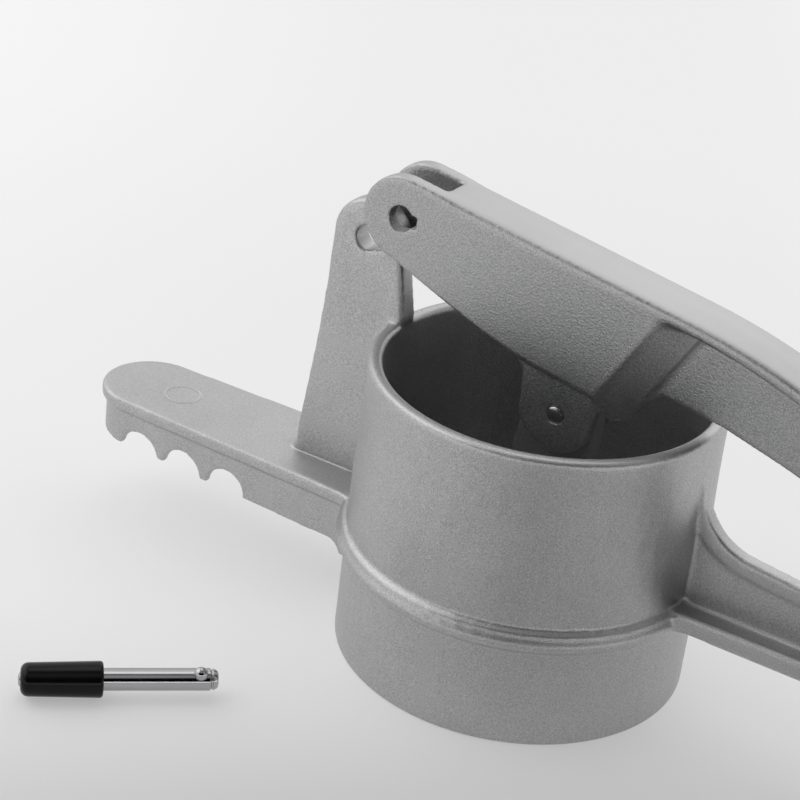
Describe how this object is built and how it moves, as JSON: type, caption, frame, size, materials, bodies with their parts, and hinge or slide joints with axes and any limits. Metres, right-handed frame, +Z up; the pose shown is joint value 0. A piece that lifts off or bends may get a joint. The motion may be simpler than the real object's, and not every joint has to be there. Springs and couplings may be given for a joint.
{
  "type": "spaetzle press",
  "caption": "Lever press for spaetzle: cast cup with sieve floor, notched pot rest, upright, hinged lever with plunger, and a loose hinge pin lying beside it.",
  "frame": {"origin": "centre of the cup's foot, on the table that the press stands on", "axes": "+X runs along the handles and away from the notched tongue, +Z is up along the cup's axis, and -Y is the side that the picture shows"},
  "size_m": [0.4135, 0.1462, 0.1159],
  "materials": {
    "cast_aluminium": "shot-blasted satin",
    "sieve_aluminium": "satin",
    "rivet_steel": "bright",
    "pin_steel": "polished",
    "black_plastic": "gloss"
  },
  "bodies": {
    "press_body": {"body_casting": "cast_aluminium", "sieve_plate": "sieve_aluminium"},
    "plunger_body": {"plunger": "cast_aluminium"},
    "lever_body": {"lever": "cast_aluminium", "plunger_rivet": "rivet_steel"},
    "hinge_pin": {"pin_shank": "pin_steel", "pin_grip": "black_plastic", "pin_key": "pin_steel"}
  },
  "joints": [
    {"name": "lever_swing", "type": "hinge", "parent": "plunger_body", "child": "lever_body", "pos_m": [0.00549, 0, 0.0694], "axis": [0, -1, 0], "range_deg": [0, 70]},
    {"name": "plunger_slide", "type": "slide", "parent": "press_body", "child": "plunger_body", "axis": [0, 0, 1], "range_m": [0, 0.0563]},
    {"name": "pin_lift", "type": "slide", "parent": "press_body", "child": "hinge_pin", "axis": [0, 0, 1], "range_m": [0, 0.09]}
  ],
  "couplings": [
    {"joint": "plunger_slide", "follows": "lever_swing", "m_per_rad": 0.046}
  ]
}
